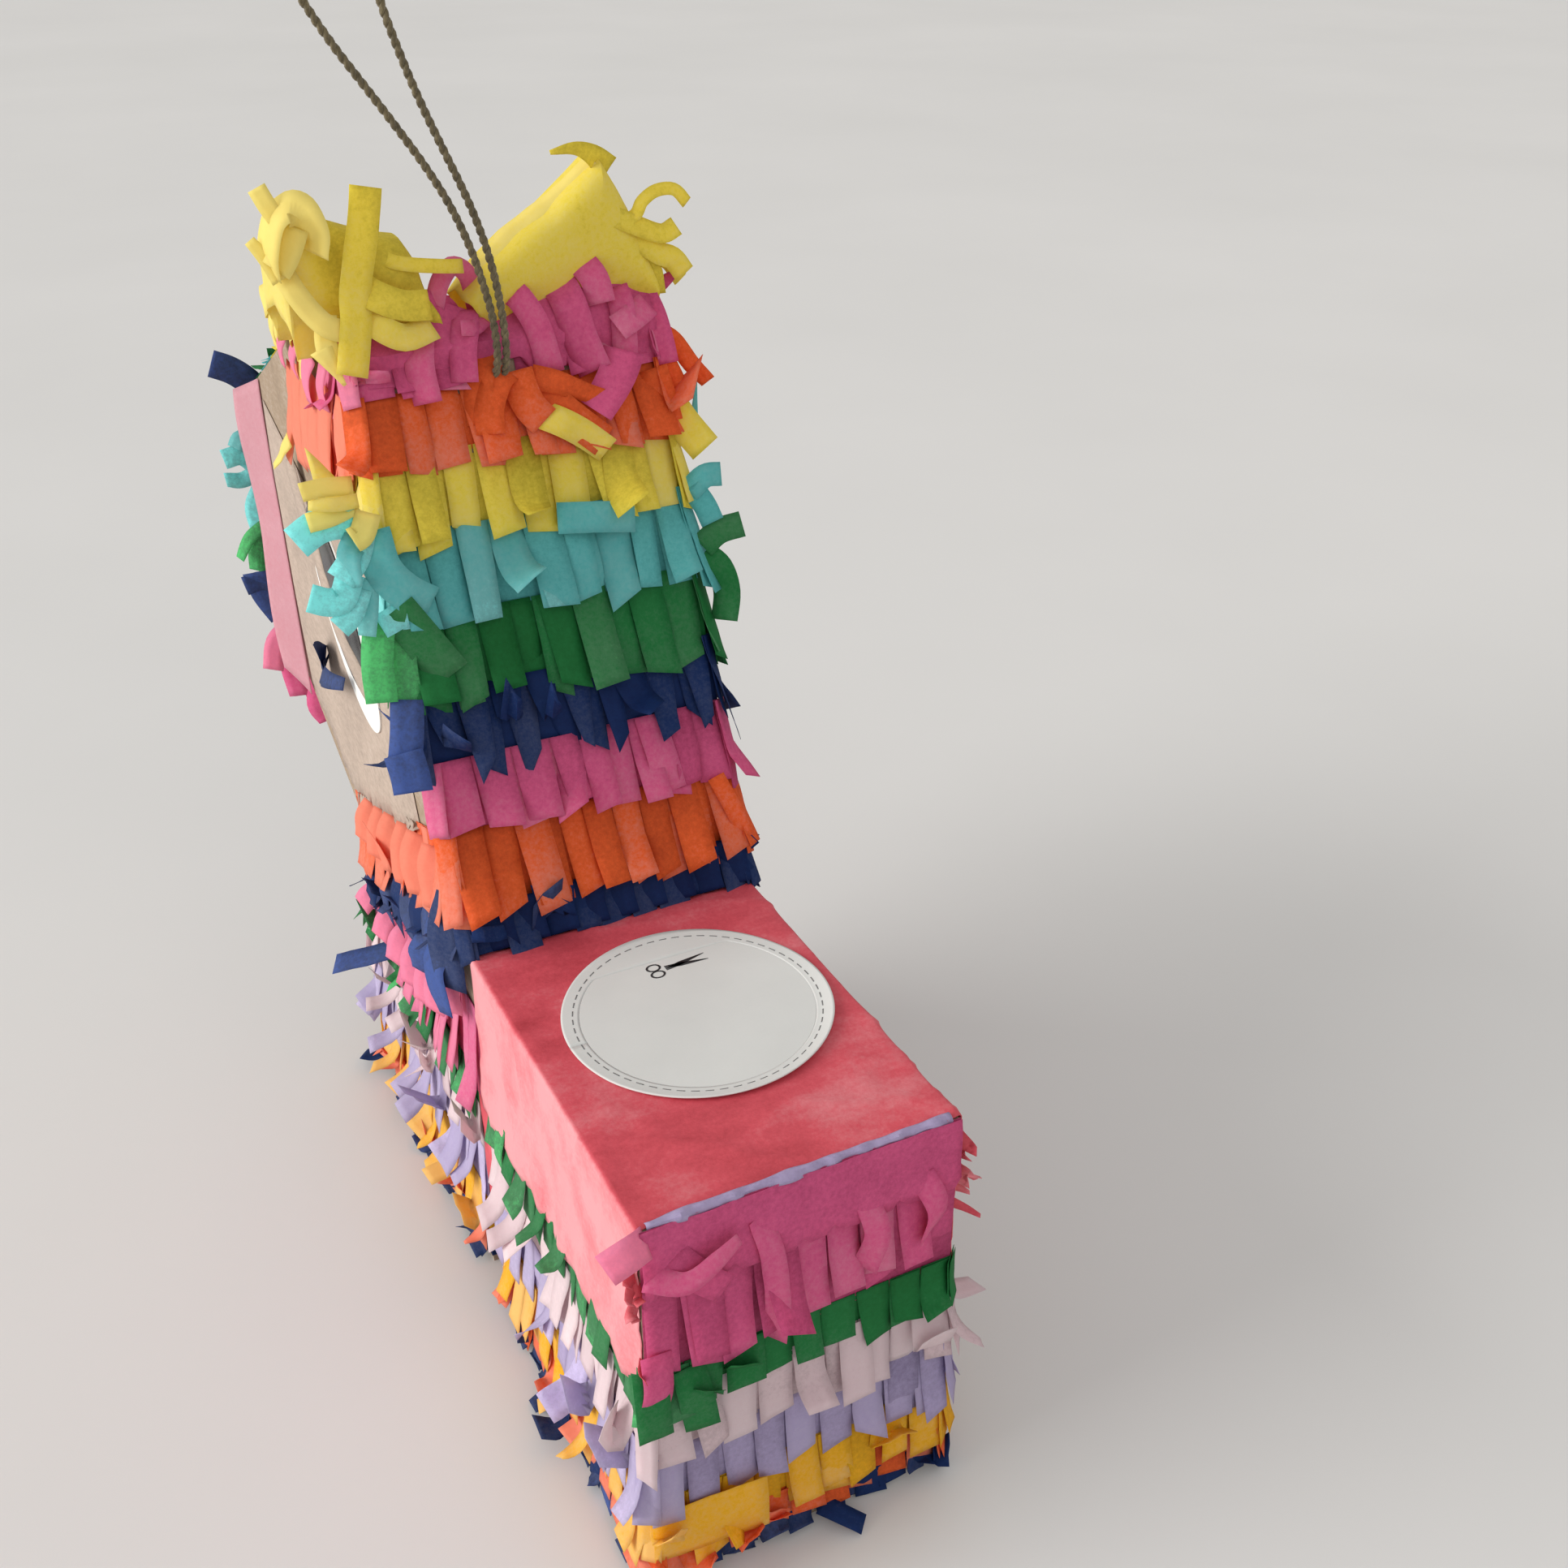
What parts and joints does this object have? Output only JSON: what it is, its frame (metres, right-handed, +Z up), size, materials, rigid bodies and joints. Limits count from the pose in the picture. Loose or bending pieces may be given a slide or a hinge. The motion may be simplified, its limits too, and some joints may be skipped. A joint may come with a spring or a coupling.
{
  "type": "pinata",
  "caption": "Small donkey-shaped card pinata covered in rows of fringed tissue paper, with a cut-open fill flap in its back and a twine hanging loop.",
  "frame": {"origin": "middle of the footprint of the card and paper body, on the surface that the hooves stand on", "axes": "+Z up; the donkey faces -Y, so +Y points to its rump; +X is the donkey's left side"},
  "size_m": [0.0915, 0.291, 0.3619],
  "materials": {
    "card": "matt, unfinished",
    "tissue_pink": "matt tissue",
    "tissue_orange": "matt tissue",
    "tissue_yellow": "matt tissue",
    "tissue_amber": "matt tissue",
    "tissue_cyan": "matt tissue",
    "tissue_green": "matt tissue",
    "tissue_navy": "matt tissue",
    "tissue_lavender": "matt tissue",
    "tissue_pale_pink": "matt tissue",
    "tissue_coral": "matt tissue, glued smooth",
    "tissue_dusty_pink": "matt tissue",
    "kraft_paper": "matt",
    "label_paper": "satin sticker",
    "eye_white": "satin",
    "eye_black": "gloss",
    "twine": "twisted waxed twine",
    "stick": "plain"
  },
  "bodies": {
    "shell": {"arch_strip": "card", "back_panel": "card", "bridle_strip_left": "tissue_dusty_pink", "bridle_strip_right": "tissue_dusty_pink", "chest_panel": "card", "cord_knot": "twine", "cord_toggle": "stick", "crown_panel": "card", "crown_paper_pink": "tissue_pink", "ear_card_left": "card", "ear_card_right": "card", "ear_paper_left": "tissue_yellow", "ear_paper_right": "tissue_yellow", "eye_pupils": "eye_black", "eye_whites": "eye_white", "face_paper_left": "kraft_paper", "face_paper_right": "kraft_paper", "forehead_fringe": "tissue_yellow", "forehead_panel": "card", "front_fringe_green": "tissue_green", "front_fringe_lavender": "tissue_lavender", "front_fringe_navy": "tissue_navy", "front_fringe_orange": "tissue_orange", "front_fringe_pink": "tissue_pink", "front_fringe_white": "tissue_pale_pink", "front_fringe_yellow": "tissue_amber", "front_hoof_panel": "card", "girth_strap": "tissue_coral", "hanging_cord": "twine", "jaw_panel": "card", "label_ring": "label_paper", "muzzle_fringe": "tissue_cyan", "muzzle_panel": "card", "neck_fringe_cyan": "tissue_cyan", "neck_fringe_green": "tissue_green", "neck_fringe_navy": "tissue_navy", "neck_fringe_navy_low": "tissue_navy", "neck_fringe_orange": "tissue_orange", "neck_fringe_orange_low": "tissue_orange", "neck_fringe_pink": "tissue_pink", "neck_fringe_pink_low": "tissue_pink", "neck_fringe_yellow": "tissue_yellow", "neck_rear_panel": "card", "rear_fringe_green": "tissue_green", "rear_fringe_lavender": "tissue_lavender", "rear_fringe_navy": "tissue_navy", "rear_fringe_orange": "tissue_orange", "rear_fringe_pink": "tissue_pink", "rear_fringe_white": "tissue_pale_pink", "rear_fringe_yellow": "tissue_amber", "rear_hoof_panel": "card", "rump_panel": "card", "saddle_edge_trim": "tissue_lavender", "saddle_paper": "tissue_coral", "side_panel_left": "card", "side_panel_right": "card"},
    "fill_flap": {"fill_flap_card": "card", "fill_flap_paper": "tissue_coral", "fill_flap_label": "label_paper"}
  },
  "joints": [
    {"name": "fill_flap_hinge", "type": "hinge", "parent": "shell", "child": "fill_flap", "pos_m": [-0.003, 0.0596, 0.1128], "axis": [1, 0, 0], "range_deg": [0, 105]}
  ]
}
